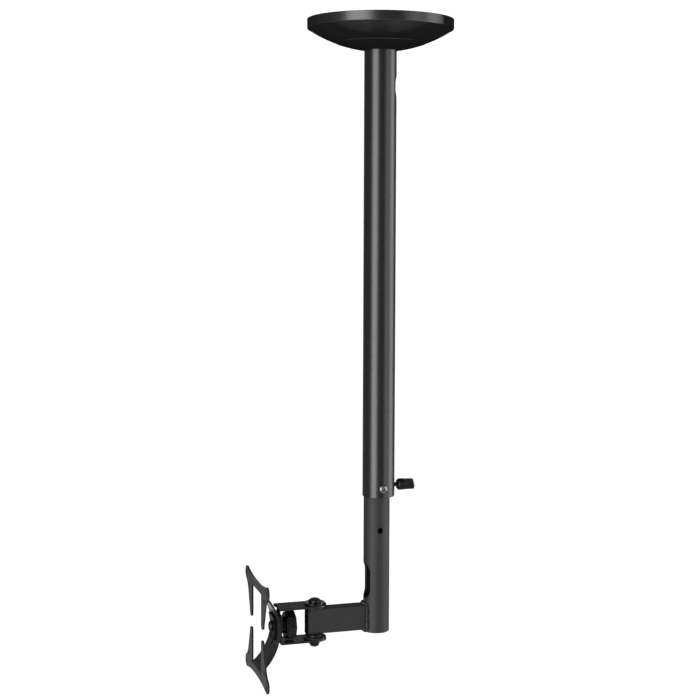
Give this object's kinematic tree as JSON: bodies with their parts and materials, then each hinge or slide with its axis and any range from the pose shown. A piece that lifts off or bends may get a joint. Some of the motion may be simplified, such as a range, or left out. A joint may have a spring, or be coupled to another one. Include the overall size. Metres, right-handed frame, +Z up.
{
  "type": "screen ceiling mount",
  "caption": "Ceiling mount for a small screen: dish cover, telescoping drop tube, side arm, swivel bracket and a slotted arched plate that tilts on a clamp knob.",
  "frame": {"origin": "on the outer tube's axis, on the face that rests on the ceiling", "axes": "+Z up into the ceiling, -X along the arm towards the screen, -Y towards the lock screw and the index holes"},
  "size_m": [0.2144, 0.1572, 0.7056],
  "materials": {
    "powder_coat": "satin black powder coat",
    "zinc_steel": "zinc plated",
    "black_steel": "black plated fasteners",
    "black_plastic": "moulded black plastic",
    "pad_plastic": "dull dark friction discs"
  },
  "bodies": {
    "post": {"ceiling_plate": "powder_coat", "ceiling_weld": "powder_coat", "outer_tube": "powder_coat", "thumb_screw_nut": "zinc_steel"},
    "cover": {"ceiling_cover": "black_plastic"},
    "lock": {"lock_screw": "zinc_steel"},
    "thumb": {"thumb_screw": "zinc_steel", "thumb_knob": "black_plastic"},
    "drop": {"inner_tube": "powder_coat", "arm": "powder_coat", "arm_weld": "powder_coat", "arm_end_plug": "black_plastic"},
    "head": {"swivel_bracket": "powder_coat", "head_washer": "black_steel", "nut_washer": "black_steel", "upper_friction_pad": "pad_plastic", "lower_friction_pad": "pad_plastic", "pad_spacer": "black_plastic", "swivel_bolt": "black_steel", "swivel_nut": "black_steel", "outer_saddle": "black_plastic", "inner_saddle": "black_plastic", "tilt_bolt": "black_steel"},
    "knob": {"tilt_knob": "black_plastic", "knob_nut": "zinc_steel", "knob_washer": "black_steel"},
    "screen": {"screen_plate": "powder_coat"}
  },
  "joints": [
    {"name": "cover_slide", "type": "slide", "parent": "post", "child": "cover", "axis": [0, 0, -1], "range_m": [0, 0.3]},
    {"name": "lock_pull", "type": "slide", "parent": "post", "child": "lock", "axis": [0, -1, 0], "range_m": [0, 0.01]},
    {"name": "thumb_turn", "type": "hinge", "parent": "post", "child": "thumb", "pos_m": [0.03, 0, -0.5028], "axis": [1, 0, 0], "continuous": true},
    {"name": "height_slide", "type": "slide", "parent": "post", "child": "drop", "axis": [0, 0, -1], "range_m": [-0.046, 0.276]},
    {"name": "swivel_turn", "type": "hinge", "parent": "drop", "child": "head", "pos_m": [-0.0715, 0, -0.6475], "axis": [0, 0, 1], "range_deg": [-90, 90]},
    {"name": "knob_turn", "type": "hinge", "parent": "head", "child": "knob", "pos_m": [-0.1, 0, -0.6488], "axis": [1, 0, 0], "continuous": true},
    {"name": "tilt_turn", "type": "hinge", "parent": "head", "child": "screen", "pos_m": [-0.17, 0, -0.6497], "axis": [0, 1, 0], "range_deg": [-15, 15]}
  ]
}
